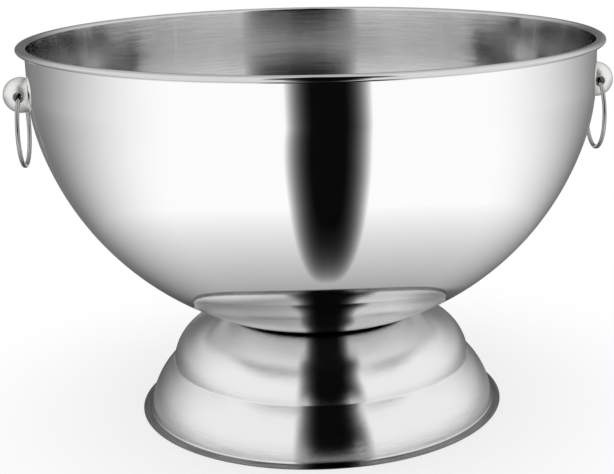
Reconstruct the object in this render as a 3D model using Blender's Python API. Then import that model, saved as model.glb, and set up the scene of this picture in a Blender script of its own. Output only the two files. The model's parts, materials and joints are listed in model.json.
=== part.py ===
"""Footed punch bowl in spun stainless steel, with a ring handle through a ball knob at each side.

The bowl is one spun sheet with a curled rim. It stands on a spun foot of two round tiers, held by a
welded stud, a washer and a nut under the foot's top, which is dished to fit the bowl. Each knob is
drawn against the wall by a screw from inside the bowl, over a sealing washer, and carries a wire ring
that swings in its cross hole.

Metres, +Z up. The origin is the centre of the foot's base, and the knobs lie along X.
"""

import math

import bmesh
import bpy
from mathutils import Matrix, Vector

# Space left between neighbouring pieces
FIT_GAP = 0.0003

# Bowl, measured on its outside
BOWL_SHEET = 0.0010
BOWL_FLAT_RADIUS = 0.0387  # where the flat would meet the round body without the blend
BOTTOM_BLEND = 0.1000  # round between the flat and the body
WALL_RADIUS = 0.1820
BODY_SWELL = 0.0027  # radius of the round body, beyond the wall's
SHOULDER_ROUND = 0.1200
WALL_HEIGHT = 0.0261  # straight wall, from the shoulder to the middle of the rim
RIM_OVERHANG = 0.0055
RIM_BEAD_HEIGHT = 0.0043
RIM_CURL_DEG = 280.0  # how far the rim's edge is rolled round

# Foot, measured on its outside
FOOT_SHEET = 0.0010
FOOT_HEIGHT = 0.0593  # to the flat that the bowl stands on
CREST_ROUND = 0.0080  # edge of the dished seat round the bowl's bottom
SLOPE_ROUND = 0.1500  # from the crest down to the upper tier
UPPER_TIER_RADIUS = 0.0709  # to the middle of the tier's round
UPPER_TIER_ROUND = 0.0298
UPPER_TIER_SWEEP_DEG = 83.5
STEP_FILLET = 0.0010
LOWER_TIER_ROUND = 0.0548
LOWER_TIER_LEAN_DEG = 48.6  # lean of the lower tier where it leaves the step
BASE_FILLET = 0.0020
FLANGE_FLAT = 0.0019
FLANGE_THICKNESS = 0.0020  # the edge is hemmed, so it is two sheets thick

# Ball knobs
KNOB_RADIUS = 0.0115
KNOB_DROP = 0.0340  # from the top of the rim to the middle of the knob's seat
KNOB_STANDOFF = 0.0062  # from the wall to the middle of the ball
CROSS_HOLE_OUTSET = 0.0004  # the ring's hole lies this far outside the middle of the ball
CROSS_HOLE_PLAY = 0.0015  # radius of the hole, beyond the wire's
THREAD_WEB = 0.0005  # metal left between the screw's hole and the ring's hole

# Wire rings
RING_RADIUS = 0.0235  # to the middle of the wire
RING_WIRE_RADIUS = 0.0014

# Knob screws and their seals
SCREW_RADIUS = 0.0020
SCREW_HEAD_RADIUS = 0.0040
SCREW_HEAD_HEIGHT = 0.0024
SCREW_SLOT_WIDTH = 0.0009
SCREW_SLOT_LENGTH = 0.0042
SCREW_SLOT_DEPTH = 0.0012
SEAL_RADIUS = 0.0055
SEAL_THICKNESS = 0.0010

# Fixing of the foot
STUD_RADIUS = 0.0040
STUD_END = 0.0030  # length of stud that shows below the nut
STUD_CHAMFER = 0.0008
FOOT_WASHER_RADIUS = 0.0200
FOOT_WASHER_THICKNESS = 0.0015
NUT_ACROSS_FLATS = 0.0130
NUT_HEIGHT = 0.0065

# Facets
TURN_STEPS = 60
BLEND_STEPS = 2
BODY_STEPS = 8
SHOULDER_STEPS = 3
CURL_STEPS = 8
TIER_STEPS = 4
FILLET_STEPS = 1
BASE_STEPS = 2
NOSE_STEPS = 3
RING_STEPS = 40
WIRE_STEPS = 8
BALL_STEPS = 28
HOLE_STEPS = 20
SHARP_ANGLE = math.radians(35)

# Places that follow from the sizes of the bowl
BOWL_BOTTOM_Z = FOOT_HEIGHT + FIT_GAP
BODY_ROUND = WALL_RADIUS + BODY_SWELL
BODY_CENTRE_Z = BOWL_BOTTOM_Z + math.sqrt(BODY_ROUND**2 - BOWL_FLAT_RADIUS**2)
BLEND_CENTRE_Z = BOWL_BOTTOM_Z + BOTTOM_BLEND
BLEND_DROP = BODY_CENTRE_Z - BLEND_CENTRE_Z
BLEND_CENTRE_R = math.sqrt((BODY_ROUND - BOTTOM_BLEND) ** 2 - BLEND_DROP**2)
BLEND_ANGLE = math.atan2(-BLEND_DROP, BLEND_CENTRE_R)
SHOULDER_CENTRE_R = WALL_RADIUS - SHOULDER_ROUND
SHOULDER_RISE = math.sqrt((BODY_ROUND - SHOULDER_ROUND) ** 2 - SHOULDER_CENTRE_R**2)
SHOULDER_CENTRE_Z = BODY_CENTRE_Z - SHOULDER_RISE
SHOULDER_ANGLE = math.atan2(-SHOULDER_RISE, SHOULDER_CENTRE_R)
RIM_CENTRE_Z = SHOULDER_CENTRE_Z + WALL_HEIGHT
RIM_TOP_Z = RIM_CENTRE_Z + RIM_BEAD_HEIGHT / 2

# Seat of a knob: a point on the outside of the wall, with the wall's lean there
SEAT_Z = RIM_TOP_Z - KNOB_DROP
SEAT_LEAN = math.asin(max(0.0, SHOULDER_CENTRE_Z - SEAT_Z) / SHOULDER_ROUND)
SEAT_R = SHOULDER_CENTRE_R + SHOULDER_ROUND * math.cos(SEAT_LEAN)
SEAT = Matrix.Translation((SEAT_R, 0, SEAT_Z)) @ Matrix.Rotation(SEAT_LEAN, 4, "Y")

# Cross hole of a knob. The wire rises in the middle of the straight bore by its whole play
CROSS_HOLE_RADIUS = RING_WIRE_RADIUS + CROSS_HOLE_PLAY
CROSS_HOLE_X = KNOB_STANDOFF + CROSS_HOLE_OUTSET
WIRE_RISE = CROSS_HOLE_PLAY - FIT_GAP
BORE_HALF_LENGTH = math.sqrt(RING_RADIUS**2 - (RING_RADIUS - 2 * WIRE_RISE) ** 2)

# Stack of the knob's screw, along the seat's X, from the tip in the knob back into the bowl
SCREW_HOLE_RADIUS = SCREW_RADIUS + FIT_GAP
SCREW_HOLE_END_X = CROSS_HOLE_X - CROSS_HOLE_RADIUS - THREAD_WEB
SCREW_TIP_X = SCREW_HOLE_END_X - FIT_GAP
FACET_DEPTH = WALL_RADIUS * (1 - math.cos(math.pi / TURN_STEPS))
SEAL_DISH = SEAL_RADIUS**2 / (2 * (SHOULDER_ROUND - BOWL_SHEET))
SEAL_FACE_X = -BOWL_SHEET - FACET_DEPTH - SEAL_DISH - FIT_GAP
SCREW_FACE_X = SEAL_FACE_X - SEAL_THICKNESS - FIT_GAP

# Stack of the foot's fixing, from the bowl down
STUD_HOLE_RADIUS = STUD_RADIUS + FIT_GAP
STUD_TOP_Z = BOWL_BOTTOM_Z - FIT_GAP
FOOT_WASHER_TOP_Z = FOOT_HEIGHT - FOOT_SHEET - FIT_GAP
NUT_TOP_Z = FOOT_WASHER_TOP_Z - FOOT_WASHER_THICKNESS - FIT_GAP
STUD_BOTTOM_Z = NUT_TOP_Z - NUT_HEIGHT - STUD_END


def arc(centre, radii, start, end, steps):
    """Points on an arc in the (r, z) half plane, both ends included."""
    points = []
    for step in range(steps + 1):
        angle = start + (end - start) * step / steps
        points.append((centre[0] + radii[0] * math.cos(angle), centre[1] + radii[1] * math.sin(angle)))
    return points


def round_arc(centre, radius, start, end, steps):
    return arc(centre, (radius, radius), start, end, steps)


def beyond(centre, distance, angle):
    """The point at a distance and an angle from a centre."""
    return (centre[0] + distance * math.cos(angle), centre[1] + distance * math.sin(angle))


def revolve(profile, steps, closed):
    """A mesh turned round Z from (r, z) points, as a closed loop or a line from axis to axis.

    The middle of a facet, and not a corner, faces along X, where the knobs are seated.
    """
    bm = bmesh.new()
    half_step = math.pi / steps
    verts = [bm.verts.new((r * math.cos(half_step), r * math.sin(half_step), z)) for r, z in profile]
    edges = [bm.edges.new(pair) for pair in zip(verts, verts[1:])]
    if closed:
        edges.append(bm.edges.new((verts[-1], verts[0])))
    bmesh.ops.spin(
        bm,
        geom=verts + edges,
        cent=(0, 0, 0),
        axis=(0, 0, 1),
        angle=math.tau,
        steps=steps,
        use_merge=True,
    )
    bmesh.ops.remove_doubles(bm, verts=bm.verts, dist=1e-7)
    bmesh.ops.recalc_face_normals(bm, faces=bm.faces)
    return finished(bm)


def finished(bm):
    """A mesh from a bmesh, which is then freed."""
    mesh = bpy.data.meshes.new("mesh")
    bm.to_mesh(mesh)
    bm.free()
    return mesh


def turned(mesh, matrix):
    """The mesh itself, moved by a matrix."""
    mesh.transform(matrix)
    return mesh


def rod(radius, start_x, end_x):
    """A plain round bar along X."""
    profile = [(0, start_x), (radius, start_x), (radius, end_x), (0, end_x)]
    return turned(revolve(profile, HOLE_STEPS, False), Matrix.Rotation(math.pi / 2, 4, "Y"))


def block(size, centre):
    """A box of a size, about a centre."""
    bm = bmesh.new()
    scale = Matrix.Diagonal((*size, 1))
    bmesh.ops.create_cube(bm, size=1, matrix=Matrix.Translation(centre) @ scale)
    return finished(bm)


def cut(mesh, cutters):
    """The mesh with each cutter's solid taken away."""
    body = bpy.data.objects.new("body", mesh)
    bpy.context.collection.objects.link(body)
    helpers = [body]
    for cutter in cutters:
        helper = bpy.data.objects.new("cutter", cutter)
        bpy.context.collection.objects.link(helper)
        helpers.append(helper)
        boolean = body.modifiers.new("cut", "BOOLEAN")
        boolean.operation = "DIFFERENCE"
        boolean.object = helper
    graph = bpy.context.evaluated_depsgraph_get()
    result = bpy.data.meshes.new_from_object(body.evaluated_get(graph))
    for helper in helpers:
        bpy.data.objects.remove(helper)
    return result


def metal(name, colour, roughness, metallic=1.0):
    material = bpy.data.materials.new(name)
    material.use_nodes = True
    shader = material.node_tree.nodes["Principled BSDF"]
    shader.inputs["Base Color"].default_value = (*colour, 1)
    shader.inputs["Roughness"].default_value = roughness
    shader.inputs["Metallic"].default_value = metallic
    return material


def piece(name, mesh, material, parent=None):
    """A named sub-part, shaded smooth over its round faces."""
    mesh.name = name
    mesh.materials.clear()
    mesh.materials.append(material)
    mesh.shade_smooth()
    mesh.set_sharp_from_angle(angle=SHARP_ANGLE)
    obj = bpy.data.objects.new(name, mesh)
    bpy.context.collection.objects.link(obj)
    obj.parent = parent
    return obj


def empty(name, matrix, parent=None):
    obj = bpy.data.objects.new(name, None)
    bpy.context.collection.objects.link(obj)
    obj.parent = parent
    obj.matrix_local = matrix
    return obj


def bottom_skin(inset):
    """Round from the edge of the bowl's flat into its body, moved in by an inset."""
    centre = (BLEND_CENTRE_R, BLEND_CENTRE_Z)
    return round_arc(centre, BOTTOM_BLEND - inset, -math.pi / 2, BLEND_ANGLE, BLEND_STEPS)


def bowl_skin(inset):
    """Bowl's outside from the axis to the straight wall, moved in by an inset."""
    points = [(0, BOWL_BOTTOM_Z + inset)] + bottom_skin(inset)
    body = (0, BODY_CENTRE_Z)
    points += round_arc(body, BODY_ROUND - inset, BLEND_ANGLE, SHOULDER_ANGLE, BODY_STEPS)[1:]
    shoulder = (SHOULDER_CENTRE_R, SHOULDER_CENTRE_Z)
    points += round_arc(shoulder, SHOULDER_ROUND - inset, SHOULDER_ANGLE, 0, SHOULDER_STEPS)[1:]
    return points


def rim_skin(inset):
    """Curl of the rim, from the wall over the top and under, moved in by an inset."""
    half_width = (BOWL_SHEET + RIM_OVERHANG) / 2
    centre = (WALL_RADIUS + RIM_OVERHANG - half_width, RIM_CENTRE_Z)
    radii = (half_width - inset, RIM_BEAD_HEIGHT / 2 - inset)
    return arc(centre, radii, math.pi, math.pi - math.radians(RIM_CURL_DEG), CURL_STEPS)


def bowl_mesh(seats):
    """Bowl of one sheet: inside, rolled rim and outside, with a screw hole at each seat."""
    inside = bowl_skin(BOWL_SHEET) + rim_skin(0)
    outside = bowl_skin(0) + rim_skin(BOWL_SHEET)
    shell = revolve(inside + outside[::-1], TURN_STEPS, False)
    holes = [turned(rod(SCREW_HOLE_RADIUS, SCREW_FACE_X, KNOB_STANDOFF), seat) for seat in seats]
    return cut(shell, holes)


def slope_angles(crest, upper):
    """Angles at which the slope's round leaves the crest's and meets the upper tier's."""
    way = Vector(upper) - Vector(crest)
    to_crest = SLOPE_ROUND - CREST_ROUND
    to_upper = SLOPE_ROUND - UPPER_TIER_ROUND
    corner = math.acos((to_crest**2 + way.length**2 - to_upper**2) / (2 * to_crest * way.length))
    start = math.pi + math.atan2(way.y, way.x) - corner
    middle = beyond(crest, -to_crest, start)
    return start, math.atan2(upper[1] - middle[1], upper[0] - middle[0])


def foot_skin(inset):
    """Foot's outside from the stud hole over the bowl's seat down to the flange, moved in by an inset."""
    seat_reach = BOTTOM_BLEND + FIT_GAP + CREST_ROUND
    crest = beyond((BLEND_CENTRE_R, BLEND_CENTRE_Z), seat_reach, BLEND_ANGLE)
    upper = (UPPER_TIER_RADIUS, FOOT_HEIGHT - UPPER_TIER_ROUND)
    slope_start, slope_end = slope_angles(crest, upper)
    upper_end = math.pi / 2 - math.radians(UPPER_TIER_SWEEP_DEG)
    lean = math.radians(LOWER_TIER_LEAN_DEG)
    step = beyond(upper, UPPER_TIER_ROUND + STEP_FILLET, upper_end)
    lower = beyond(step, -(STEP_FILLET + LOWER_TIER_ROUND), lean)
    base_reach = LOWER_TIER_ROUND + BASE_FILLET
    lower_end = math.asin((FLANGE_THICKNESS + BASE_FILLET - lower[1]) / base_reach)
    base = beyond(lower, base_reach, lower_end)
    points = [(STUD_HOLE_RADIUS, FOOT_HEIGHT - inset)] + bottom_skin(-FIT_GAP - inset)
    points += round_arc(crest, CREST_ROUND - inset, math.pi + BLEND_ANGLE, slope_start, FILLET_STEPS)[1:]
    points += round_arc(upper, UPPER_TIER_ROUND - inset, slope_end, upper_end, TIER_STEPS)
    points += round_arc(step, STEP_FILLET + inset, math.pi + upper_end, math.pi + lean, FILLET_STEPS)[1:]
    points += round_arc(lower, LOWER_TIER_ROUND - inset, lean, lower_end, TIER_STEPS)[1:]
    points += round_arc(base, BASE_FILLET + inset, math.pi + lower_end, 1.5 * math.pi, BASE_STEPS)[1:]
    return points


def foot_mesh():
    """Foot of one sheet, open below, with a hemmed flange and a stud hole in its dished top."""
    outside = foot_skin(0)
    hem_r = outside[-1][0]
    nose = (hem_r + FLANGE_FLAT, FLANGE_THICKNESS / 2)
    edge = round_arc(nose, FLANGE_THICKNESS / 2, math.pi / 2, -math.pi / 2, NOSE_STEPS)
    return revolve(outside + edge + [(hem_r, 0)] + foot_skin(FOOT_SHEET)[::-1], TURN_STEPS, True)


def wall_cutter():
    """Solid of the bowl's outside with the fit's gap, which dishes the back of a knob."""
    outside = bowl_skin(-FIT_GAP)
    top = [(WALL_RADIUS + FIT_GAP, RIM_TOP_Z), (0, RIM_TOP_Z)]
    return turned(revolve(outside + top, TURN_STEPS, False), SEAT.inverted())


def cross_hole_cutter():
    """Bore along Y whose mouths flare, so that the ring's curve clears them."""
    mouth = KNOB_RADIUS + FIT_GAP
    straight = min(BORE_HALF_LENGTH, mouth)
    half = [(CROSS_HOLE_RADIUS, straight), (CROSS_HOLE_RADIUS + mouth - straight, mouth), (0, mouth)]
    profile = [(r, -y) for r, y in reversed(half)] + half
    hole = turned(revolve(profile, HOLE_STEPS, False), Matrix.Rotation(math.pi / 2, 4, "X"))
    return turned(hole, Matrix.Translation((CROSS_HOLE_X, 0, 0)))


def knob_mesh():
    """Ball with a back dished to the wall, a cross hole for the ring and a blind screw hole."""
    bm = bmesh.new()
    bmesh.ops.create_uvsphere(bm, u_segments=BALL_STEPS, v_segments=BALL_STEPS // 2, radius=KNOB_RADIUS)
    ball = turned(finished(bm), Matrix.Rotation(math.pi / 2, 4, "X"))
    turned(ball, Matrix.Translation((KNOB_STANDOFF, 0, 0)))
    screw_hole = rod(SCREW_HOLE_RADIUS, SCREW_FACE_X, SCREW_HOLE_END_X)
    return cut(ball, [wall_cutter(), cross_hole_cutter(), screw_hole])


def ring_mesh():
    """Closed wire ring that hangs from the origin, which lies on its swing axis along Y."""
    wire = round_arc((RING_RADIUS, 0), RING_WIRE_RADIUS, 0, math.tau, WIRE_STEPS)[:-1]
    ring = turned(revolve(wire, RING_STEPS, True), Matrix.Rotation(math.pi / 2, 4, "Y"))
    return turned(ring, Matrix.Translation((0, 0, WIRE_RISE - RING_RADIUS)))


def screw_mesh():
    """Pan-head screw along X with a cross slot, its head inside the bowl."""
    crown_x = SCREW_FACE_X - SCREW_HEAD_HEIGHT
    side_x = SCREW_FACE_X - SCREW_HEAD_HEIGHT / 2
    crown = arc((0, side_x), (SCREW_HEAD_RADIUS, crown_x - side_x), math.pi / 2, 0, TIER_STEPS)
    shank = [(SCREW_HEAD_RADIUS, SCREW_FACE_X), (SCREW_RADIUS, SCREW_FACE_X)]
    tip = [(SCREW_RADIUS, SCREW_TIP_X), (0, SCREW_TIP_X)]
    profile = [(0, crown_x)] + crown[1:] + shank + tip
    screw = turned(revolve(profile, HOLE_STEPS, False), Matrix.Rotation(math.pi / 2, 4, "Y"))
    deep = 2 * SCREW_SLOT_DEPTH
    slots = [
        block((deep, SCREW_SLOT_LENGTH, SCREW_SLOT_WIDTH), (crown_x, 0, 0)),
        block((deep, SCREW_SLOT_WIDTH, SCREW_SLOT_LENGTH), (crown_x, 0, 0)),
    ]
    return cut(screw, slots)


def washer_mesh(bore, radius, top, thickness):
    """Flat ring about Z, below a top."""
    bottom = top - thickness
    return revolve([(bore, top), (radius, top), (radius, bottom), (bore, bottom)], HOLE_STEPS, True)


def stud_mesh():
    """Weld stud with a chamfered end."""
    tip = [(STUD_RADIUS, STUD_BOTTOM_Z + STUD_CHAMFER), (STUD_RADIUS - STUD_CHAMFER, STUD_BOTTOM_Z)]
    profile = [(0, STUD_TOP_Z), (STUD_RADIUS, STUD_TOP_Z)] + tip + [(0, STUD_BOTTOM_Z)]
    return revolve(profile, HOLE_STEPS, False)


def nut_mesh():
    """Hexagon nut with a plain bore."""
    corner = NUT_ACROSS_FLATS / 2 / math.cos(math.pi / 6)
    bottom = NUT_TOP_Z - NUT_HEIGHT
    hexagon = revolve([(0, NUT_TOP_Z), (corner, NUT_TOP_Z), (corner, bottom), (0, bottom)], 6, False)
    drill = [(0, NUT_TOP_Z + FIT_GAP), (STUD_HOLE_RADIUS, NUT_TOP_Z + FIT_GAP)]
    drill += [(STUD_HOLE_RADIUS, bottom - FIT_GAP), (0, bottom - FIT_GAP)]
    return cut(hexagon, [revolve(drill, HOLE_STEPS, False)])


def main():
    for old in list(bpy.data.objects):
        bpy.data.objects.remove(old)

    polished = metal("polished_steel", (0.80, 0.80, 0.79), 0.04)
    foot_finish = metal("foot_polished_steel", (0.79, 0.79, 0.78), 0.05)
    satin = metal("knob_satin_steel", (0.78, 0.78, 0.76), 0.38)
    wire = metal("ring_polished_wire", (0.77, 0.77, 0.76), 0.12)
    screw_finish = metal("screw_steel", (0.70, 0.70, 0.70), 0.25)
    seal_finish = metal("silicone_seal", (0.72, 0.72, 0.70), 0.55, metallic=0.0)
    fixing_finish = metal("fixing_steel", (0.62, 0.62, 0.61), 0.35)

    turns = {"right": Matrix.Identity(4), "left": Matrix.Rotation(math.pi, 4, "Z")}
    piece("bowl_shell", bowl_mesh([turn @ SEAT for turn in turns.values()]), polished)
    piece("pedestal_foot", foot_mesh(), foot_finish)
    piece("foot_stud", stud_mesh(), fixing_finish)
    washer = washer_mesh(STUD_HOLE_RADIUS, FOOT_WASHER_RADIUS, FOOT_WASHER_TOP_Z, FOOT_WASHER_THICKNESS)
    piece("foot_washer", washer, fixing_finish)
    piece("foot_nut", nut_mesh(), fixing_finish)

    to_x = Matrix.Rotation(math.pi / 2, 4, "Y")
    knob = knob_mesh()
    ring = ring_mesh()
    screw = screw_mesh()
    seal = turned(washer_mesh(SCREW_HOLE_RADIUS, SEAL_RADIUS, SEAL_FACE_X, SEAL_THICKNESS), to_x)
    swing_axis = Matrix.Translation(SEAT @ Matrix.Translation((CROSS_HOLE_X, 0, 0)).to_translation())
    for side, turn in turns.items():
        handle = empty(side + "_handle", turn)
        seat = empty(side + "_seat", SEAT, handle)
        pivot = empty(side + "_pivot", swing_axis, handle)
        piece(side + "_knob", knob, satin, seat)
        piece(side + "_knob_screw", screw, screw_finish, seat)
        piece(side + "_seal_washer", seal, seal_finish, seat)
        piece(side + "_ring", ring, wire, pivot)


main()
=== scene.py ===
"""Looks of a footed punch bowl in spun stainless steel, with a ring handle at each side.

The outside is mirror polished, the inside is brushed round the axis, the knobs are satin and the rings
are polished wire. Each solid of the frame is replaced by a fine mesh of the same sizes, in metres.
"""

import json
import math

import bmesh
import bpy
from mathutils import Matrix, Vector


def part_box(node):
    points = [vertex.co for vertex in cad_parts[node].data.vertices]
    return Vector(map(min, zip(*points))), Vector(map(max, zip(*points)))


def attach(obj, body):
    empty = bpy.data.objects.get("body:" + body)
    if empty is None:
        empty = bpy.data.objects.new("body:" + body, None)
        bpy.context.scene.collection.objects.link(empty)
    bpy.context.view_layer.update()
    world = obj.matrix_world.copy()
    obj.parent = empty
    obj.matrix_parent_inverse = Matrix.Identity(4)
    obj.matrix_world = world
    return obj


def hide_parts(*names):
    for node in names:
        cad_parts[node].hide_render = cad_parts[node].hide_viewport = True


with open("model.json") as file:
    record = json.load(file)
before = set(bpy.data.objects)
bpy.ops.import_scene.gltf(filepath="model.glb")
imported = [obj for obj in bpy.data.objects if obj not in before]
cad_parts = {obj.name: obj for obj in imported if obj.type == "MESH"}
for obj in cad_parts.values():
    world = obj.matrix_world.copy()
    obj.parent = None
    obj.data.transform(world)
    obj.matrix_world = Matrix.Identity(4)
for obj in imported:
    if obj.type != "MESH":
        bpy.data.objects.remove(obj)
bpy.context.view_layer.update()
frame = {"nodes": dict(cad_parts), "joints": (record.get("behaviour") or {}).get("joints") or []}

# Sizes of the solids, but the foot's lower round, base fillet and flange follow the photograph instead
FIT_GAP = 0.0003
SHEET = 0.0010
BOWL_FLAT_RADIUS = 0.0387
BOTTOM_BLEND = 0.1000
WALL_RADIUS = 0.1820
BODY_SWELL = 0.0027
SHOULDER_ROUND = 0.1200
WALL_HEIGHT = 0.0261
RIM_OVERHANG = 0.0055
RIM_BEAD_HEIGHT = 0.0043
RIM_CURL = math.radians(280)
FOOT_HEIGHT = 0.0593
CREST_ROUND = 0.0080
SLOPE_ROUND = 0.1500
UPPER_TIER_RADIUS = 0.0709
UPPER_TIER_ROUND = 0.0298
UPPER_TIER_SWEEP = math.radians(83.5)
STEP_FILLET = 0.0010
LOWER_TIER_ROUND = 0.0500
LOWER_TIER_LEAN = math.radians(48.6)
BASE_FILLET = 0.0015
FLANGE_FLAT = 0.0036
KNOB_RADIUS = 0.0115
KNOB_DROP = 0.0340
KNOB_STANDOFF = 0.0062
CROSS_HOLE_OUTSET = 0.0004
CROSS_HOLE_PLAY = 0.0015
RING_RADIUS = 0.0235
RING_WIRE_RADIUS = 0.0014
SCREW_RADIUS = 0.0020
SCREW_HEAD_RADIUS = 0.0040
SCREW_HEAD_HEIGHT = 0.0024
SCREW_SLOT_WIDTH = 0.0009
SCREW_SLOT_LENGTH = 0.0042
SCREW_SLOT_DEPTH = 0.0012
SEAL_RADIUS = 0.0055
STUD_RADIUS = 0.0040
FOOT_WASHER_RADIUS = 0.0200
NUT_ACROSS_FLATS = 0.0130
NUT_SIDES = 6

# Fine forms that the solids leave out
SOFT_EDGE = 0.0002  # broken edges of the turned pieces
SOFT_EDGE_STEPS = 2
NUT_CHAMFER = math.radians(30)
THREAD_PITCH = 0.00125
THREAD_DEPTH = 0.0006

# Fineness of the meshes
TURN_STEPS = 256
SMALL_STEPS = 64
BODY_STEPS = 48
SHOULDER_STEPS = 16
CURL_STEPS = 32
TIER_STEPS = 24
FILLET_STEPS = 8
BALL_STEPS = 96
RING_STEPS = 160
WIRE_STEPS = 28
THREAD_STEPS = 24
SHARP_ANGLE = math.radians(35)
MERGE_DISTANCE = 1e-7

# Camera, as the photograph sees the bowl: a little left of square on to the knobs
IMAGE_WIDTH = 614
SENSOR_WIDTH = 36.0
FOCAL_PIXELS = 1333.2
CAMERA_AZIMUTH = math.radians(-3.08)
CAMERA_DISTANCE = 0.8699  # from the bowl's axis
CAMERA_HEIGHT = 0.3487
CAMERA_YAW = math.radians(6.24)
CAMERA_PITCH = math.radians(15.18)
CAMERA_ROLL = math.radians(-0.67)
CAMERA_SHIFT = -0.135

# Studio: white boards on the floor and a white tent, open in a slit towards the camera, dim behind.
# Azimuths and elevations are in degrees. Azimuth 0 is straight in front, along -Y, and X is to its right
STUDIO_AZIMUTH = 3.3  # middle of the tent
DARK_LEVEL = 0.003
GAP_ROUND = 3.0  # power that rounds the end of a gap
GAP_FALL = 2.0  # power by which a gap then turns dark
BOARD_GAP = 15.8  # azimuth at which the gap between the boards is white
BOARD_GAP_APEX = 0.045  # the gap's two edges would meet this far in front of the bowl's axis
BOARD_GAP_START = 0.1355  # radius at which the gap begins
BOARD_GAP_TIP = 4.5  # power by which it opens from there
BOARD_GAP_LEAN = (0.5, 2.0)  # azimuth of its middle, near and far
BOARD_GAP_BEND = (0.15, 1.80)  # radii between the two
BOARD_FALL = (55.0, 140.0)  # azimuths over which the boards turn dim
BOARD_BACK_LEVEL = 0.18
BOARD_NEAR = (0.090, 0.300)  # radii over which the boards come out of the bowl's shade
BOARD_NEAR_LEVEL = 0.28
BOARD_AGAIN_LEVELS = (0.85, 0.50)  # in front and behind, in mirrors of mirrors
MIRRORED_AGAIN = 1.5  # glossy depth between one mirror and two
TENT_FOOT = (0.5, 3.6)  # radii over which the boards pass into the tent's wall
TENT_FALL = (90.0, 168.0)  # azimuths over which the tent turns dim
TENT_BACK_LEVELS = (0.17, 0.65)  # low down and higher up
TENT_BACK_CLIMB = (12.0, 35.0)  # elevations between the two
BACK_PANEL = (164.0, 175.0)  # azimuths over which a lighter panel behind begins
BACK_PANEL_LEVEL = 0.5
SLIT_HALF = (26.7, 35.0)  # half width of the slit low down and higher up
SLIT_CLIMB = (30.0, 62.0)  # elevations between the two

# Spun steel: greys of its darkest and lightest lines, its roughness, and how far the lines lean
BOWL_MIRROR = ((0.955, 0.985), (0.03, 0.07), 0.02)
BOWL_BRUSHED = ((0.60, 0.68), (0.03, 0.06), 0.8)
FOOT_MIRROR = ((0.79, 0.85), (0.05, 0.09), 1.4)
LINE_GRAIN = 12000.0  # scale of the lines' noise, per radian across them
LINE_ROUND = 0.0004  # share of that scale along the lines
LINE_DETAIL = 3.0
LEAN_SIDES = (0.135, 0.160)  # places to both sides over which the lean falls off
LEAN_SIDES_SHARE = 0.1

# Satin steel: its lightest colour, its roughness and the scale of its grain
KNOB_STEEL = ((0.88, 0.88, 0.86), 0.36, 1500.0)
# The ring wire's grey is set dark: painted shade for the dark surroundings that the wire mirrors
WIRE_STEEL = ((0.42, 0.42, 0.41), 0.10, 1200.0)
SCREW_STEEL = ((0.74, 0.74, 0.74), 0.24, 2000.0)
FIXING_STEEL = ((0.66, 0.66, 0.65), 0.34, 900.0)
SATIN_DARK_SHARE = 0.93  # darkest colour, as a share of the lightest
SATIN_ROUGH_SPREAD = 0.06
SATIN_DETAIL = 4.0
SATIN_BUMP = 0.04
PATCH_GRAINS = 12  # grains across a patch of one colour
PATCH_DETAIL = 2.0
BUMP_DEPTH = 0.0001

# Silicone of the seals
SILICONE_COLOURS = ((0.66, 0.66, 0.64), (0.74, 0.74, 0.72))
SILICONE_ROUGH = (0.5, 0.65)
SILICONE_GRAIN = 1800.0
SILICONE_DETAIL = 3.0
SILICONE_BUMP = 0.1

# Painted shade and painted reflections of the room, fixed to the object: the steel's colour is darkened
# where they fall
PAINTED_SEAM_SHADE_BOWL = (0.0648, 0.0662)  # heights over which the bowl comes out of the painted shade at the seam on the foot
PAINTED_SEAM_SHADE_FOOT = (0.0645, 0.0636)  # heights over which the foot comes out of it
PAINTED_SEAM_SHADE_SHARE = 0.1  # share of the colour that is left there
PAINTED_RIM_SHADE = (0.2462, 0.2455)  # heights over which the wall comes out of the painted shade on the rim
PAINTED_RIM_SHADE_SHARE = 0.70
PAINTED_SLOPE_SHADE = (0.0635, 0.0525)  # heights over which the foot comes out of the painted shade on its slope
PAINTED_SLOPE_SHADE_SHARE = 0.86
PAINTED_FLANGE_REFLECTION = (0.0012, 0.0019)  # heights over which the foot comes out of the painted dark reflection on its flange
PAINTED_FLANGE_REFLECTION_SHARE = 0.25
PAINTED_BAND_BELOW = (0.076, 0.088)  # heights over which the painted dark reflection band over the foot begins
PAINTED_BAND_ABOVE = (0.112, 0.120)  # heights over which it ends, at X = 0
PAINTED_BAND_ARCH = 2.1  # times X squared, by which its upper end is lower to both sides
PAINTED_BAND_LEFT = (-0.080, 0.035)  # places along X over which the dark band turns lighter
PAINTED_BAND_LEFT_DEPTH = (0.78, 0.27)
PAINTED_BAND_RIGHT = (0.035, 0.066)  # places along X over which it turns darker again
PAINTED_BAND_RIGHT_DEPTH = 0.50
PAINTED_BAND_ENDS = (0.074, 0.092)  # places to both sides over which it ends

# Reflections between the bowl and the foot
MIRROR_BOUNCES = 16

# Floor
FLOOR_RADIUS = 12.0
FLOOR_COLOUR = 0.95
SHADOW_REACH = (0.12, 0.32)  # radii over which the floor fades to white
SHADOW_SHARE = 0.40

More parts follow.
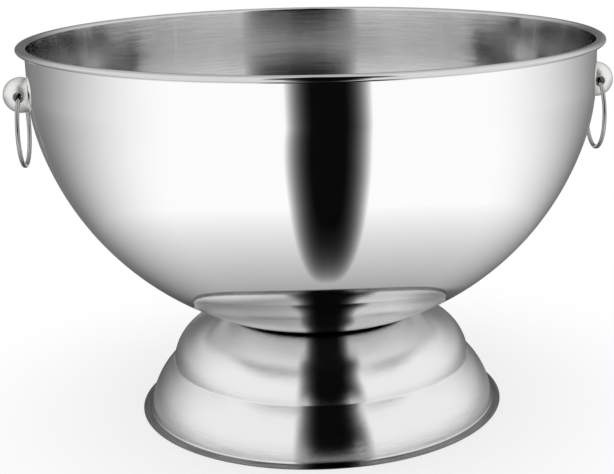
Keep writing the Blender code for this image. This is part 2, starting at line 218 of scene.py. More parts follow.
# Places that follow from the sizes
BOWL_BOTTOM_Z = FOOT_HEIGHT + FIT_GAP
BODY_ROUND = WALL_RADIUS + BODY_SWELL
BODY_CENTRE_Z = BOWL_BOTTOM_Z + math.sqrt(BODY_ROUND**2 - BOWL_FLAT_RADIUS**2)
BLEND_CENTRE_Z = BOWL_BOTTOM_Z + BOTTOM_BLEND
BLEND_DROP = BODY_CENTRE_Z - BLEND_CENTRE_Z
BLEND_CENTRE_R = math.sqrt((BODY_ROUND - BOTTOM_BLEND) ** 2 - BLEND_DROP**2)
BLEND_ANGLE = math.atan2(-BLEND_DROP, BLEND_CENTRE_R)
SHOULDER_CENTRE_R = WALL_RADIUS - SHOULDER_ROUND
SHOULDER_RISE = math.sqrt((BODY_ROUND - SHOULDER_ROUND) ** 2 - SHOULDER_CENTRE_R**2)
SHOULDER_CENTRE_Z = BODY_CENTRE_Z - SHOULDER_RISE
SHOULDER_ANGLE = math.atan2(-SHOULDER_RISE, SHOULDER_CENTRE_R)
RIM_CENTRE_Z = SHOULDER_CENTRE_Z + WALL_HEIGHT
RIM_TOP_Z = RIM_CENTRE_Z + RIM_BEAD_HEIGHT / 2
SEAT_Z = RIM_TOP_Z - KNOB_DROP
SEAT_LEAN = math.asin((SHOULDER_CENTRE_Z - SEAT_Z) / SHOULDER_ROUND)
SEAT_R = SHOULDER_CENTRE_R + SHOULDER_ROUND * math.cos(SEAT_LEAN)
SEAT = Matrix.Translation((SEAT_R, 0, SEAT_Z)) @ Matrix.Rotation(SEAT_LEAN, 4, "Y")
CROSS_HOLE_RADIUS = RING_WIRE_RADIUS + CROSS_HOLE_PLAY
CROSS_HOLE_X = KNOB_STANDOFF + CROSS_HOLE_OUTSET
WIRE_RISE = CROSS_HOLE_PLAY - FIT_GAP
SCREW_HOLE_RADIUS = SCREW_RADIUS + FIT_GAP
STUD_HOLE_RADIUS = STUD_RADIUS + FIT_GAP

# Turns that take the right-hand handle to each side
SIDE_TURNS = {"right": Matrix.Identity(4), "left": Matrix.Rotation(math.pi, 4, "Z")}


def node_span_x(node):
    """Lowest and highest place of a right-hand node along its seat's X."""
    to_seat = SEAT.inverted()
    places = [(to_seat @ vert.co).x for vert in frame["nodes"][node].data.vertices]
    return min(places), max(places)


def node_span_z(node):
    """Lowest and highest place of a node along Z."""
    return [corner.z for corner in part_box(node)]


def arc(centre, radii, start, end, steps):
    """Points on an arc in the (r, z) half plane, both ends included."""
    points = []
    for step in range(steps + 1):
        angle = start + (end - start) * step / steps
        points.append((centre[0] + radii[0] * math.cos(angle), centre[1] + radii[1] * math.sin(angle)))
    return points


def round_arc(centre, radius, start, end, steps):
    """Points on an arc of a circle."""
    return arc(centre, (radius, radius), start, end, steps)


def beyond(centre, distance, angle):
    """The point at a distance and an angle from a centre."""
    return (centre[0] + distance * math.cos(angle), centre[1] + distance * math.sin(angle))


def finished(bm):
    """A mesh from a bmesh, which is then freed."""
    mesh = bpy.data.meshes.new("mesh")
    bm.to_mesh(mesh)
    bm.free()
    return mesh


def turned(mesh, matrix):
    """The mesh itself, moved by a matrix."""
    mesh.transform(matrix)
    return mesh


def revolve(profile, steps, closed=False):
    """A mesh turned round Z from (r, z) points, as a closed loop or a line from axis to axis."""
    bm = bmesh.new()
    verts = [bm.verts.new((r, 0, z)) for r, z in profile]
    edges = [bm.edges.new(pair) for pair in zip(verts, verts[1:])]
    if closed:
        edges.append(bm.edges.new((verts[-1], verts[0])))
    bmesh.ops.spin(
        bm,
        geom=verts + edges,
        cent=(0, 0, 0),
        axis=(0, 0, 1),
        angle=math.tau,
        steps=steps,
        use_merge=True,
    )
    bmesh.ops.remove_doubles(bm, verts=bm.verts, dist=MERGE_DISTANCE)
    bmesh.ops.recalc_face_normals(bm, faces=bm.faces)
    return finished(bm)


def rod(radius, start_x, end_x):
    """A plain round bar along X."""
    profile = [(0, start_x), (radius, start_x), (radius, end_x), (0, end_x)]
    return turned(revolve(profile, SMALL_STEPS), Matrix.Rotation(math.pi / 2, 4, "Y"))


def block(size, centre):
    """A box of a size, about a centre."""
    bm = bmesh.new()
    bmesh.ops.create_cube(bm, size=1, matrix=Matrix.Translation(centre) @ Matrix.Diagonal((*size, 1)))
    return finished(bm)


def combined(mesh, others, operation):
    """The mesh after a Boolean with each of the others."""
    body = bpy.data.objects.new("body", mesh)
    bpy.context.collection.objects.link(body)
    helpers = [body]
    for other in others:
        helper = bpy.data.objects.new("helper", other)
        bpy.context.collection.objects.link(helper)
        helpers.append(helper)
        boolean = body.modifiers.new("boolean", "BOOLEAN")
        boolean.operation = operation
        boolean.object = helper
    graph = bpy.context.evaluated_depsgraph_get()
    result = bpy.data.meshes.new_from_object(body.evaluated_get(graph))
    for helper in helpers:
        bpy.data.objects.remove(helper)
    return result


def piece(name, mesh, finishes, node, body="vessel"):
    """A named piece that stands for a solid and moves with a body."""
    mesh.name = name
    mesh.materials.clear()
    for finish in finishes:
        mesh.materials.append(finish)
    mesh.shade_smooth()
    mesh.set_sharp_from_angle(angle=SHARP_ANGLE)
    obj = bpy.data.objects.new(name, mesh)
    bpy.context.collection.objects.link(obj)
    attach(obj, body)
    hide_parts(node)
    return obj


def break_edges(obj):
    """Rounds the sharp edges of a piece a little, as a polishing wheel does."""
    bevel = obj.modifiers.new("soft_edges", "BEVEL")
    bevel.width = SOFT_EDGE
    bevel.segments = SOFT_EDGE_STEPS
    bevel.limit_method = "ANGLE"
    bevel.angle_limit = SHARP_ANGLE
    bevel.harden_normals = True


def bottom_skin(inset):
    """Round from the edge of the bowl's flat into its body, moved in by an inset."""
    centre = (BLEND_CENTRE_R, BLEND_CENTRE_Z)
    return round_arc(centre, BOTTOM_BLEND - inset, -math.pi / 2, BLEND_ANGLE, FILLET_STEPS)


def bowl_skin(inset):
    """Bowl's outside from the axis to the straight wall, moved in by an inset."""
    points = [(0, BOWL_BOTTOM_Z + inset)] + bottom_skin(inset)
    body = (0, BODY_CENTRE_Z)
    points += round_arc(body, BODY_ROUND - inset, BLEND_ANGLE, SHOULDER_ANGLE, BODY_STEPS)[1:]
    shoulder = (SHOULDER_CENTRE_R, SHOULDER_CENTRE_Z)
    points += round_arc(shoulder, SHOULDER_ROUND - inset, SHOULDER_ANGLE, 0, SHOULDER_STEPS)[1:]
    return points


def rim_skin(inset):
    """Curl of the rim, from the wall over the top and under, moved in by an inset."""
    half_width = (SHEET + RIM_OVERHANG) / 2
    centre = (WALL_RADIUS + RIM_OVERHANG - half_width, RIM_CENTRE_Z)
    radii = (half_width - inset, RIM_BEAD_HEIGHT / 2 - inset)
    return arc(centre, radii, math.pi, math.pi - RIM_CURL, CURL_STEPS)


def bowl_mesh():
    """Bowl of one sheet: inside, rolled rim and outside, with a screw hole at each side."""
    inside = bowl_skin(SHEET) + rim_skin(0)
    outside = bowl_skin(0) + rim_skin(SHEET)
    shell = revolve(inside + outside[::-1], TURN_STEPS)
    holes = []
    for turn in SIDE_TURNS.values():
        holes.append(turned(rod(SCREW_HOLE_RADIUS, -KNOB_STANDOFF, KNOB_STANDOFF), turn @ SEAT))
    return combined(shell, holes, "DIFFERENCE")


def mark_inside(mesh, finish):
    """Gives the bowl's inside, up to the top of the rim, another finish than the outside."""
    middle = Vector((0, 0, BODY_CENTRE_Z))
    for face in mesh.polygons:
        faces_in = face.normal.dot(face.center - middle) < 0
        bead_in = face.center.z > RIM_CENTRE_Z and face.normal.xy.dot(face.center.xy) < 0
        if bead_in or faces_in and face.center.xy.length < WALL_RADIUS - SHEET / 2:
            face.material_index = finish


def slope_between(crest, upper):
    """Middle of the round from the crest to the upper tier, and the angles at which it meets both."""
    way = Vector(upper) - Vector(crest)
    to_crest = SLOPE_ROUND - CREST_ROUND
    to_upper = SLOPE_ROUND - UPPER_TIER_ROUND
    corner = math.acos((to_crest**2 + way.length**2 - to_upper**2) / (2 * to_crest * way.length))
    start = math.pi + math.atan2(way.y, way.x) - corner
    middle = beyond(crest, -to_crest, start)
    return middle, start, math.atan2(upper[1] - middle[1], upper[0] - middle[0])


def foot_skin(inset):
    """Foot's outside from the stud hole over the bowl's seat down to the flange, moved in by an inset."""
    seat_reach = BOTTOM_BLEND + FIT_GAP + CREST_ROUND
    crest = beyond((BLEND_CENTRE_R, BLEND_CENTRE_Z), seat_reach, BLEND_ANGLE)
    upper = (UPPER_TIER_RADIUS, FOOT_HEIGHT - UPPER_TIER_ROUND)
    slope, slope_start, slope_end = slope_between(crest, upper)
    upper_end = math.pi / 2 - UPPER_TIER_SWEEP
    lean = LOWER_TIER_LEAN
    step = beyond(upper, UPPER_TIER_ROUND + STEP_FILLET, upper_end)
    lower = beyond(step, -(STEP_FILLET + LOWER_TIER_ROUND), lean)
    base_reach = LOWER_TIER_ROUND + BASE_FILLET
    lower_end = math.asin((SHEET + BASE_FILLET - lower[1]) / base_reach)
    base = beyond(lower, base_reach, lower_end)
    points = [(STUD_HOLE_RADIUS, FOOT_HEIGHT - inset)] + bottom_skin(-FIT_GAP - inset)
    points += round_arc(crest, CREST_ROUND - inset, math.pi + BLEND_ANGLE, slope_start, FILLET_STEPS)[1:]
    points += round_arc(slope, SLOPE_ROUND - inset, slope_start, slope_end, FILLET_STEPS)[1:]
    points += round_arc(upper, UPPER_TIER_ROUND - inset, slope_end, upper_end, TIER_STEPS)[1:]
    points += round_arc(step, STEP_FILLET + inset, math.pi + upper_end, math.pi + lean, FILLET_STEPS)[1:]
    points += round_arc(lower, LOWER_TIER_ROUND - inset, lean, lower_end, TIER_STEPS)[1:]
    points += round_arc(base, BASE_FILLET + inset, math.pi + lower_end, 1.5 * math.pi, FILLET_STEPS)[1:]
    return points


def foot_mesh():
    """Foot of one sheet, open below, with a flat flange and a top dished to the bowl."""
    outside = foot_skin(0)
    nose = (outside[-1][0] + FLANGE_FLAT, SHEET / 2)
    edge = round_arc(nose, SHEET / 2, math.pi / 2, -math.pi / 2, FILLET_STEPS)
    return revolve(outside + edge + foot_skin(SHEET)[::-1], TURN_STEPS, closed=True)


def wall_cutter():
    """Solid of the bowl's outside with the fit's gap, which dishes the back of a knob."""
    outside = bowl_skin(-FIT_GAP)
    top = [(WALL_RADIUS + FIT_GAP, RIM_TOP_Z), (0, RIM_TOP_Z)]
    return turned(revolve(outside + top, TURN_STEPS), SEAT.inverted())


def cross_hole_cutter():
    """Bore along Y whose mouths flare, so that the ring's curve clears them."""
    mouth = KNOB_RADIUS + FIT_GAP
    straight = math.sqrt(RING_RADIUS**2 - (RING_RADIUS - 2 * WIRE_RISE) ** 2)
    half = [(CROSS_HOLE_RADIUS, straight), (CROSS_HOLE_RADIUS + mouth - straight, mouth), (0, mouth)]
    profile = [(r, -y) for r, y in reversed(half)] + half
    hole = turned(revolve(profile, SMALL_STEPS), Matrix.Rotation(math.pi / 2, 4, "X"))
    return turned(hole, Matrix.Translation((CROSS_HOLE_X, 0, 0)))


def knob_mesh(screw_end_x):
    """Ball with a back dished to the wall, a cross hole for the ring and a blind screw hole."""
    bm = bmesh.new()
    bmesh.ops.create_uvsphere(bm, u_segments=BALL_STEPS, v_segments=BALL_STEPS // 2, radius=KNOB_RADIUS)
    ball = turned(finished(bm), Matrix.Rotation(math.pi / 2, 4, "X"))
    turned(ball, Matrix.Translation((KNOB_STANDOFF, 0, 0)))
    screw_hole = rod(SCREW_HOLE_RADIUS, -KNOB_STANDOFF, screw_end_x + FIT_GAP)
    return combined(ball, [wall_cutter(), cross_hole_cutter(), screw_hole], "DIFFERENCE")


def ring_mesh():
    """Closed wire ring that hangs from the origin, which lies on its swing axis along Y."""
    wire = round_arc((RING_RADIUS, 0), RING_WIRE_RADIUS, 0, math.tau, WIRE_STEPS)[:-1]
    ring = turned(revolve(wire, RING_STEPS, closed=True), Matrix.Rotation(math.pi / 2, 4, "Y"))
    return turned(ring, Matrix.Translation((0, 0, WIRE_RISE - RING_RADIUS)))


def screw_mesh(crown_x, tip_x):
    """Pan-head screw along X with a cross slot, its head inside the bowl."""
    face_x = crown_x + SCREW_HEAD_HEIGHT
    side_x = crown_x + SCREW_HEAD_HEIGHT / 2
    crown = arc((0, side_x), (SCREW_HEAD_RADIUS, crown_x - side_x), math.pi / 2, 0, TIER_STEPS)
    shank = [(SCREW_HEAD_RADIUS, face_x), (SCREW_RADIUS, face_x), (SCREW_RADIUS, tip_x), (0, tip_x)]
    profile = [(0, crown_x)] + crown[1:] + shank
    screw = turned(revolve(profile, SMALL_STEPS), Matrix.Rotation(math.pi / 2, 4, "Y"))
    deep = 2 * SCREW_SLOT_DEPTH
    slots = [
        block((deep, SCREW_SLOT_LENGTH, SCREW_SLOT_WIDTH), (crown_x, 0, 0)),
        block((deep, SCREW_SLOT_WIDTH, SCREW_SLOT_LENGTH), (crown_x, 0, 0)),
    ]
    return combined(screw, slots, "DIFFERENCE")


def washer_mesh(bore, radius, bottom, top):
    """Flat ring about Z between two heights."""
    return revolve([(bore, top), (radius, top), (radius, bottom), (bore, bottom)], SMALL_STEPS, closed=True)


def nut_mesh(bottom, top):
    """Hexagon nut whose corners are turned down at both ends, with a plain bore."""
    flat = NUT_ACROSS_FLATS / 2
    corner = flat / math.cos(math.pi / NUT_SIDES)
    drop = (corner - flat) * math.tan(NUT_CHAMFER)
    hexagon = revolve([(0, top), (corner, top), (corner, bottom), (0, bottom)], NUT_SIDES)
    barrel = [(0, top), (flat, top), (corner, top - drop)]
    barrel += [(corner, bottom + drop), (flat, bottom), (0, bottom)]
    shaped = combined(hexagon, [revolve(barrel, SMALL_STEPS)], "INTERSECT")
    drill = [(0, top + SHEET), (STUD_HOLE_RADIUS, top + SHEET)]
    drill += [(STUD_HOLE_RADIUS, bottom - SHEET), (0, bottom - SHEET)]
    return combined(shaped, [revolve(drill, SMALL_STEPS)], "DIFFERENCE")


def stud_mesh(bottom, top):
    """Weld stud with a thread, whose crests fade out at its lower end."""
    bm = bmesh.new()
    rows = round((top - bottom) / THREAD_PITCH * THREAD_STEPS)
    rings = []
    for row in range(rows + 1):
        z = bottom + (top - bottom) * row / rows
        ring = []
        for step in range(SMALL_STEPS):
            angle = math.tau * step / SMALL_STEPS
            wave = math.cos(math.tau * (z - bottom) / THREAD_PITCH - angle)
            lead = min(1.0, (z - bottom) / THREAD_PITCH)
            radius = STUD_RADIUS - THREAD_DEPTH * (1 - lead * (0.5 + 0.5 * wave))
            ring.append(bm.verts.new((radius * math.cos(angle), radius * math.sin(angle), z)))
        rings.append(ring)
    for low, high in zip(rings, rings[1:]):
        for step in range(SMALL_STEPS):
            after = (step + 1) % SMALL_STEPS
            bm.faces.new((low[step], low[after], high[after], high[step]))
    bm.faces.new(reversed(rings[0]))
    bm.faces.new(rings[-1])
    return finished(bm)


def add(tree, kind, inputs=(), **settings):
    """A node of a kind, with its settings and its inputs by name or number, linked or set."""
    made = tree.nodes.new("ShaderNode" + kind)
    for name, value in settings.items():
        setattr(made, name, value)
    for name, value in dict(inputs).items():
        if isinstance(value, bpy.types.NodeSocket):
            tree.links.new(value, made.inputs[name])
        else:
            made.inputs[name].default_value = value
    return made


def calc(tree, operation, *values):
    """The result of a Math node on numbers or sockets."""
    return add(tree, "Math", enumerate(values), operation=operation).outputs[0]


def smooth(tree, value, span, low, high):
    """A number that eases from low to high while a value goes over a span."""
    inputs = {"Value": value, "From Min": span[0], "From Max": span[1], "To Min": low, "To Max": high}
    return add(tree, "MapRange", inputs, interpolation_type="SMOOTHSTEP").outputs["Result"]


def new_material(name):
    """A node material and its Principled shader."""
    material = bpy.data.materials.new(name)
    material.use_nodes = True
    return material, material.node_tree, material.node_tree.nodes["Principled BSDF"]


def vary(tree, socket, factor, low, high):
    """Drives a shader's number between two levels by a factor from 0 to 1."""
    inputs = {"Value": factor, "To Min": low, "To Max": high}
    tree.links.new(add(tree, "MapRange", inputs).outputs["Result"], socket)


def tint(tree, shader, factor, dark, light):
    """Drives a shader's colour between two colours by a factor from 0 to 1."""
    # On a mix of colours, inputs 6 and 7 are A and B, and output 2 is the result
    mix = add(tree, "Mix", {0: factor, 6: (*dark, 1), 7: (*light, 1)}, data_type="RGBA")
    tree.links.new(mix.outputs[2], shader.inputs["Base Color"])


def noise(tree, vector, scale, detail):
    """A number that varies from place to place, about 0.5."""
    inputs = {"Vector": vector, "Scale": scale, "Detail": detail}
    return add(tree, "TexNoise", inputs).outputs["Fac"]


def object_place(tree):
    """X, Y and Z of a place on the object."""
    return add(tree, "SeparateXYZ", {0: add(tree, "TexCoord").outputs["Object"]}).outputs


def lathe_lines(tree, middle_z):
    """Coordinates whose noise runs in long streaks round Z, for marks of turning or brushing."""
    x, y, z = object_place(tree)
    squares = calc(tree, "ADD", calc(tree, "MULTIPLY", x, x), calc(tree, "MULTIPLY", y, y))
    radius = calc(tree, "SQRT", squares)
    climb = calc(tree, "ARCTAN2", calc(tree, "SUBTRACT", z, middle_z), radius)
    east = calc(tree, "MULTIPLY", calc(tree, "DIVIDE", x, radius), LINE_ROUND)
    north = calc(tree, "MULTIPLY", calc(tree, "DIVIDE", y, radius), LINE_ROUND)
    return add(tree, "CombineXYZ", {0: east, 1: north, 2: climb}).outputs[0]


def roughen(tree, shader, height, strength):
    """Gives a shader the bumps of a height from 0 to 1."""
    inputs = {"Height": height, "Strength": strength, "Distance": BUMP_DEPTH}
    tree.links.new(add(tree, "Bump", inputs).outputs["Normal"], shader.inputs["Normal"])


def lean_at(tree, lean):
    """Lean of the lines, which falls off to both sides."""
    aside = calc(tree, "ABSOLUTE", object_place(tree)["X"])
    return smooth(tree, aside, LEAN_SIDES, lean, lean * LEAN_SIDES_SHARE)


def combed(tree, lines, lean):
    """Normal that leans up and down from line to line, which draws reflections out across the lines."""
    normal = add(tree, "NewGeometry").outputs["Normal"]
    along = add(tree, "Tangent", direction_type="RADIAL", axis="Z").outputs[0]
    across = add(tree, "VectorMath", {0: normal, 1: along}, operation="CROSS_PRODUCT").outputs[0]
    tip = calc(tree, "MULTIPLY", calc(tree, "SUBTRACT", lines, 0.5), lean)
    tipped = add(tree, "VectorMath", {0: across, "Scale": tip}, operation="SCALE").outputs[0]
    total = add(tree, "VectorMath", {0: normal, 1: tipped}, operation="ADD").outputs[0]
    return add(tree, "VectorMath", {0: total}, operation="NORMALIZE").outputs[0]


def spun_steel(name, middle_z, greys, rough, lean):
    """Spun steel whose fine lines run round the axis."""
    material, tree, shader = new_material(name)
    shader.inputs["Metallic"].default_value = 1.0
    fine = noise(tree, lathe_lines(tree, middle_z), LINE_GRAIN, LINE_DETAIL)
    dark, light = ((grey,) * 3 for grey in greys)
    tint(tree, shader, fine, dark, light)
    vary(tree, shader.inputs["Roughness"], fine, *rough)
    tree.links.new(combed(tree, fine, lean_at(tree, lean)), shader.inputs["Normal"])
    return material


def darken(material, share):
    """Multiplies the colour of a material by a share."""
    tree = material.node_tree
    shader = tree.nodes["Principled BSDF"]
    colour = shader.inputs["Base Color"].links[0].from_socket
    darker = add(tree, "VectorMath", {0: colour, "Scale": share}, operation="SCALE").outputs[0]
    tree.links.new(darker, shader.inputs["Base Color"])


def paint_dark_between_heights(material, heights, share):
    """Painted shade and painted reflections: darkens a steel at the first of two heights, to a share of its
    colour, and less up to the second.
    """
    tree = material.node_tree
    darken(material, smooth(tree, object_place(tree)["Z"], heights, share, 1.0))


def paint_reflection_band(material):
    """Painted reflection: darkens the bowl's steel in a band over the foot, most at its left end and least
    near its middle.
    """
    tree = material.node_tree
    x, y, z = object_place(tree)
    left = smooth(tree, x, PAINTED_BAND_LEFT, *PAINTED_BAND_LEFT_DEPTH)
    depth = calc(tree, "ADD", left, smooth(tree, x, PAINTED_BAND_RIGHT, 0.0, PAINTED_BAND_RIGHT_DEPTH))
    arch = calc(tree, "ADD", z, calc(tree, "MULTIPLY", calc(tree, "MULTIPLY", x, x), PAINTED_BAND_ARCH))
    bottom = smooth(tree, z, PAINTED_BAND_BELOW, 0.0, 1.0)
    band = calc(tree, "MULTIPLY", bottom, smooth(tree, arch, PAINTED_BAND_ABOVE, 1.0, 0.0))
    ends = smooth(tree, calc(tree, "ABSOLUTE", x), PAINTED_BAND_ENDS, 1.0, 0.0)
    ended = calc(tree, "MULTIPLY", band, ends)
    darken(material, calc(tree, "SUBTRACT", 1.0, calc(tree, "MULTIPLY", depth, ended)))


def satin_steel(name, light, rough, grain):
    """Blasted or tumbled steel with a fine even grain."""
    material, tree, shader = new_material(name)
    shader.inputs["Metallic"].default_value = 1.0
    place = add(tree, "TexCoord").outputs["Object"]
    fine = noise(tree, place, grain, SATIN_DETAIL)
    patches = noise(tree, place, grain / PATCH_GRAINS, PATCH_DETAIL)
    dark = tuple(level * SATIN_DARK_SHARE for level in light)
    tint(tree, shader, patches, dark, light)
    low, high = rough - SATIN_ROUGH_SPREAD, rough + SATIN_ROUGH_SPREAD
    vary(tree, shader.inputs["Roughness"], patches, low, high)
    roughen(tree, shader, fine, SATIN_BUMP)
    return material


def silicone(name):
    """Pale food-grade silicone with a dull moulded skin."""
    material, tree, shader = new_material(name)
    place = add(tree, "TexCoord").outputs["Object"]
    fine = noise(tree, place, SILICONE_GRAIN, SILICONE_DETAIL)
    tint(tree, shader, fine, *SILICONE_COLOURS)
    vary(tree, shader.inputs["Roughness"], fine, *SILICONE_ROUGH)
    roughen(tree, shader, fine, SILICONE_BUMP)
    return material


def bowl_mirror():
    """Mirror polish of the bowl's outside, with a painted dark reflection over the foot and painted shade
    at the seam and on the rim.
    """
    material = spun_steel("bowl_mirror_steel", BODY_CENTRE_Z, *BOWL_MIRROR)
    paint_reflection_band(material)
    paint_dark_between_heights(material, PAINTED_SEAM_SHADE_BOWL, PAINTED_SEAM_SHADE_SHARE)
    paint_dark_between_heights(material, PAINTED_RIM_SHADE, PAINTED_RIM_SHADE_SHARE)
    return material


def foot_mirror():
    """Mirror polish of the foot, with painted shade at the seam and on the slope below it and a painted
    dark reflection on the flange.
    """
    material = spun_steel("foot_mirror_steel", 0.0, *FOOT_MIRROR)
    paint_dark_between_heights(material, PAINTED_SEAM_SHADE_FOOT, PAINTED_SEAM_SHADE_SHARE)
    paint_dark_between_heights(material, PAINTED_SLOPE_SHADE, PAINTED_SLOPE_SHADE_SHARE)
    paint_dark_between_heights(material, PAINTED_FLANGE_REFLECTION, PAINTED_FLANGE_REFLECTION_SHARE)
    return material


def build_vessel():
    """Bowl, mirror polished outside and brushed inside, on its foot."""
    brushed = spun_steel("bowl_brushed_steel", BODY_CENTRE_Z, *BOWL_BRUSHED)
    finishes = [bowl_mirror(), brushed]
    bowl = piece("bowl", bowl_mesh(), finishes, "bowl_shell")
    mark_inside(bowl.data, finishes.index(brushed))
    piece("foot", foot_mesh(), [foot_mirror()], "pedestal_foot")


def build_fixings():
    """Stud, washer and nut that hold the foot to the bowl."""
    finishes = [satin_steel("fixing_plain_steel", *FIXING_STEEL)]
    stud = stud_mesh(*node_span_z("foot_stud"))
    piece("stud", stud, finishes, "foot_stud")
    washer = washer_mesh(STUD_HOLE_RADIUS, FOOT_WASHER_RADIUS, *node_span_z("foot_washer"))
    break_edges(piece("washer", washer, finishes, "foot_washer"))
    nut = nut_mesh(*node_span_z("foot_nut"))
    break_edges(piece("nut", nut, finishes, "foot_nut"))


def build_handles():
    """Knob, screw, seal and ring of each side."""
    satin = [satin_steel("knob_satin_steel", *KNOB_STEEL)]
    wire = [satin_steel("ring_wire_steel", *WIRE_STEEL)]
    bright = [satin_steel("screw_bright_steel", *SCREW_STEEL)]
    rubber = [silicone("seal_silicone")]
    screw_span = node_span_x("right_knob_screw")
    seal_span = node_span_x("right_seal_washer")
    to_x = Matrix.Rotation(math.pi / 2, 4, "Y")
    pivots = {joint["child"]: Matrix.Translation(joint["pos_m"]) for joint in frame["joints"]}
    for side, turn in SIDE_TURNS.items():
        seat = turn @ SEAT
        knob = turned(knob_mesh(screw_span[1]), seat)
        break_edges(piece(side + "_ball", knob, satin, side + "_knob"))
        screw = turned(screw_mesh(*screw_span), seat)
        break_edges(piece(side + "_screw", screw, bright, side + "_knob_screw"))
        seal = turned(washer_mesh(SCREW_HOLE_RADIUS, SEAL_RADIUS, *seal_span), seat @ to_x)
        break_edges(piece(side + "_seal", seal, rubber, side + "_seal_washer"))
        ring = turned(ring_mesh(), pivots[side + "_handle"] @ turn)
        piece(side + "_loop", ring, wire, side + "_ring", side + "_handle")


def build_camera():
    """Camera at the photograph's place, lens and lean."""
    data = bpy.data.cameras.new("camera")
    data.sensor_width = SENSOR_WIDTH
    data.lens = FOCAL_PIXELS * SENSOR_WIDTH / IMAGE_WIDTH
    data.shift_x = CAMERA_SHIFT
    camera = bpy.data.objects.new("camera", data)
    bpy.context.collection.objects.link(camera)
    place = (
        CAMERA_DISTANCE * math.sin(CAMERA_AZIMUTH),
        -CAMERA_DISTANCE * math.cos(CAMERA_AZIMUTH),
        CAMERA_HEIGHT,
    )
    turn = Matrix.Rotation(-CAMERA_YAW, 4, "Z") @ Matrix.Rotation(math.pi / 2 - CAMERA_PITCH, 4, "X")
    camera.matrix_world = Matrix.Translation(place) @ turn @ Matrix.Rotation(CAMERA_ROLL, 4, "Z")
    bpy.context.scene.camera = camera


def azimuth_of(tree, x, y):
    """Azimuth in degrees of a place or a direction."""
    ahead = calc(tree, "MULTIPLY", y, -1.0)
    return calc(tree, "DEGREES", calc(tree, "ARCTAN2", x, ahead))


def gap_level(tree, azimuth, half, end=0.0):
    """Brightness across a gap: white from its half width or its end on, and soon dark inside."""
    share = calc(tree, "DIVIDE", calc(tree, "ABSOLUTE", azimuth), half)
    total = calc(tree, "ADD", calc(tree, "POWER", share, GAP_ROUND), end)
    return calc(tree, "POWER", calc(tree, "MINIMUM", total, 1.0), GAP_FALL)


def gapped(tree, level, gap):
    """A brightness with a gap in it, which isn't quite black."""
    return calc(tree, "MULTIPLY", level, calc(tree, "MAXIMUM", gap, DARK_LEVEL))


def off_middle(tree, x, y):
    """Azimuth from the middle of the tent."""
    return calc(tree, "SUBTRACT", azimuth_of(tree, x, y), STUDIO_AZIMUTH)


def tent_level(tree):
    """Brightness of the tent by direction: white sides, a dark slit in front and a dim back."""
    way = add(tree, "TexCoord").outputs["Generated"]
    x, y, z = add(tree, "SeparateXYZ", {0: way}).outputs
    azimuth = off_middle(tree, x, y)
    climb = calc(tree, "DEGREES", calc(tree, "ARCSINE", z))
    back = smooth(tree, climb, TENT_BACK_CLIMB, *TENT_BACK_LEVELS)
    level = smooth(tree, calc(tree, "ABSOLUTE", azimuth), TENT_FALL, 1.0, back)
    slit = gap_level(tree, azimuth, smooth(tree, climb, SLIT_CLIMB, *SLIT_HALF))
    return gapped(tree, level, slit)


def board_level(tree, place):
    """Brightness of the boards by place: dim under the bowl and behind, dark in the gap in front."""
    x, y, z = add(tree, "SeparateXYZ", {0: place}).outputs
    reach = add(tree, "VectorMath", {0: place}, operation="LENGTH").outputs["Value"]
    aside = calc(tree, "ABSOLUTE", off_middle(tree, x, y))
    board = smooth(tree, aside, BOARD_FALL, 1.0, BOARD_BACK_LEVEL)
    wall = smooth(tree, aside, TENT_FALL, 1.0, TENT_BACK_LEVELS[0])
    level = smooth(tree, reach, TENT_FOOT, board, wall)
    level = calc(tree, "ADD", level, smooth(tree, aside, BACK_PANEL, 0.0, BACK_PANEL_LEVEL))
    shade = {"Value": reach, "From Min": BOARD_NEAR[0], "From Max": BOARD_NEAR[1]}
    shade["To Min"] = BOARD_NEAR_LEVEL
    level = calc(tree, "MULTIPLY", level, add(tree, "MapRange", shade).outputs["Result"])
    past_apex = calc(tree, "ADD", y, BOARD_GAP_APEX)
    lean = smooth(tree, reach, BOARD_GAP_BEND, *BOARD_GAP_LEAN)
    azimuth = calc(tree, "SUBTRACT", azimuth_of(tree, x, past_apex), lean)
    end = calc(tree, "POWER", calc(tree, "DIVIDE", BOARD_GAP_START, reach), BOARD_GAP_TIP)
    return gapped(tree, level, gap_level(tree, azimuth, BOARD_GAP, end))


def board_level_again(tree, place):
    """Brightness of the boards in mirrors of mirrors: less dim, and the tent's slit goes on over them."""
    x, y, z = add(tree, "SeparateXYZ", {0: place}).outputs
    azimuth = off_middle(tree, x, y)
    level = smooth(tree, calc(tree, "ABSOLUTE", azimuth), BOARD_FALL, *BOARD_AGAIN_LEVELS)
    return gapped(tree, level, gap_level(tree, azimuth, SLIT_HALF[0]))


def build_world():
    """White to the camera, even to dull surfaces, and a tent to be mirrored by the steel."""
    world = bpy.data.worlds.new("studio")
    bpy.context.scene.world = world
    world.use_nodes = True
    world.cycles.sampling_method = "NONE"
    tree = world.node_tree
    tree.nodes.clear()
    path = add(tree, "LightPath").outputs
    plain = calc(tree, "MAXIMUM", path["Is Camera Ray"], path["Is Diffuse Ray"])
    level = calc(tree, "MAXIMUM", plain, tent_level(tree))
    background = add(tree, "Background", {"Color": (1, 1, 1, 1), "Strength": level})
    tree.links.new(background.outputs[0], add(tree, "OutputWorld").inputs[0])


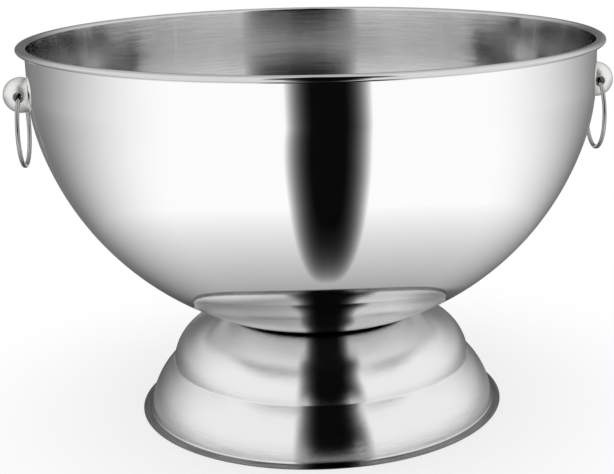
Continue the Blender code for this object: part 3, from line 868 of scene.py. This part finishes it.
def floor_material():
    """Pale with a soft shadow near the foot, white further off, and boards to be mirrored by the steel."""
    material = bpy.data.materials.new("floor_white")
    material.use_nodes = True
    material.cycles.emission_sampling = "NONE"
    tree = material.node_tree
    tree.nodes.clear()
    path = add(tree, "LightPath").outputs
    place = add(tree, "TexCoord").outputs["Object"]
    reach = add(tree, "VectorMath", {0: place}, operation="LENGTH").outputs["Value"]
    near = smooth(tree, reach, SHADOW_REACH, SHADOW_SHARE, 0.0)
    share = calc(tree, "MAXIMUM", near, calc(tree, "SUBTRACT", 1.0, path["Is Camera Ray"]))
    dull = add(tree, "BsdfDiffuse", {"Color": (FLOOR_COLOUR, FLOOR_COLOUR, FLOOR_COLOUR, 1)})
    white = add(tree, "Emission", {"Strength": 1.0})
    shade = add(tree, "MixShader", {0: share, 1: white.outputs[0], 2: dull.outputs[0]})
    again = calc(tree, "GREATER_THAN", path["Glossy Depth"], MIRRORED_AGAIN)
    levels = {"Factor": again, "A": board_level(tree, place), "B": board_level_again(tree, place)}
    boards = add(tree, "Emission", {"Strength": add(tree, "Mix", levels).outputs["Result"]})
    seen = add(tree, "MixShader", {0: path["Is Glossy Ray"], 1: shade.outputs[0], 2: boards.outputs[0]})
    back = add(tree, "NewGeometry").outputs["Backfacing"]
    clear = add(tree, "BsdfTransparent")
    faced = add(tree, "MixShader", {0: back, 1: seen.outputs[0], 2: clear.outputs[0]})
    tree.links.new(faced.outputs[0], add(tree, "OutputMaterial").inputs[0])
    return material


def build_floor():
    """Round floor that is clear from below."""
    bm = bmesh.new()
    bmesh.ops.create_circle(bm, cap_ends=True, segments=SMALL_STEPS, radius=FLOOR_RADIUS)
    floor = bpy.data.objects.new("floor", finished(bm))
    floor.data.materials.append(floor_material())
    bpy.context.collection.objects.link(floor)


build_vessel()
build_fixings()
build_handles()
build_camera()
build_world()
build_floor()
bpy.context.scene.view_settings.view_transform = "Standard"
bpy.context.scene.cycles.max_bounces = MIRROR_BOUNCES
bpy.context.scene.cycles.glossy_bounces = MIRROR_BOUNCES
